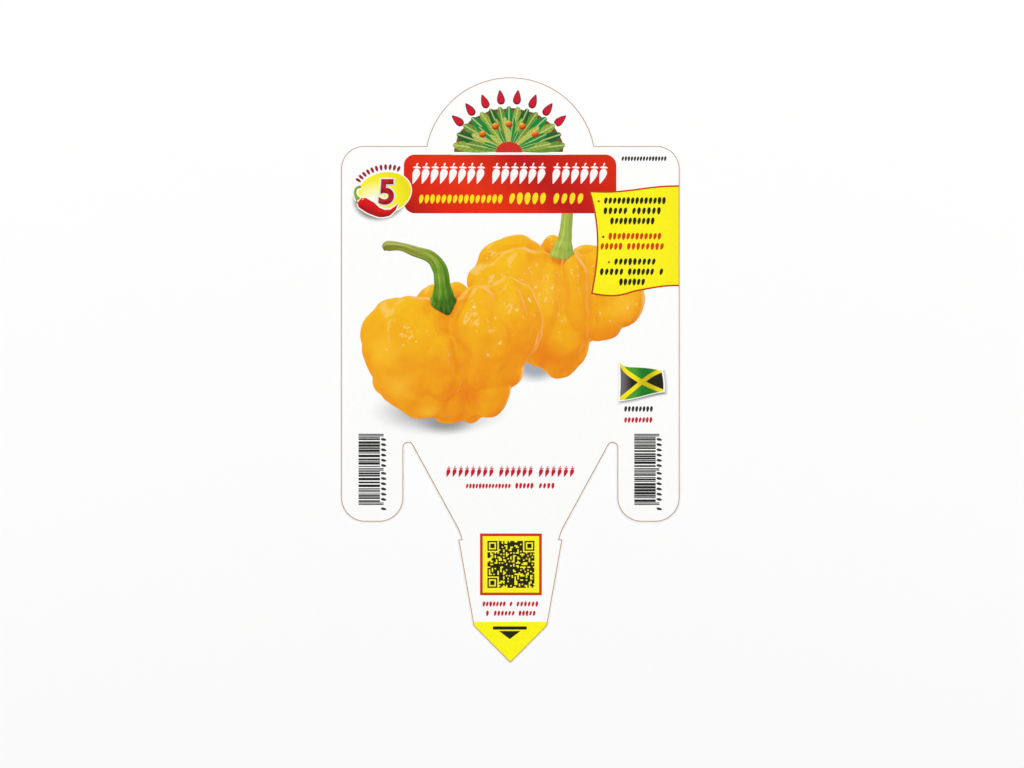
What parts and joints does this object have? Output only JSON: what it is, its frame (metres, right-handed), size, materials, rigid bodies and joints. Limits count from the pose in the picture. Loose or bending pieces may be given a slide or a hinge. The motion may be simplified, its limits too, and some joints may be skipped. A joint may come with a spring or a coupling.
{
  "type": "plant label",
  "caption": "Flat die-cut plastic plant label with a domed head, two side lobes that hang outside a pot's rim and a barbed, pointed stake for the soil.",
  "frame": {"origin": "on the back face, under the middle of the sheet's bounding box", "axes": "+X to the reader's right, +Y towards the domed head, +Z out of the printed face; the label lies flat on its back"},
  "size_m": [0.12, 0.2074, 0.0005],
  "materials": {
    "white_plastic": "smooth white polypropylene sheet with a satin face",
    "red_ink": "printed red, satin",
    "yellow_ink": "printed yellow, satin",
    "orange_ink": "printed orange, satin",
    "green_ink": "printed green, satin",
    "dark_ink": "printed near-black, satin",
    "pale_ink": "printed white and pale grey, satin"
  },
  "bodies": {
    "root": {"label_sheet": "white_plastic"}
  },
  "joints": []
}
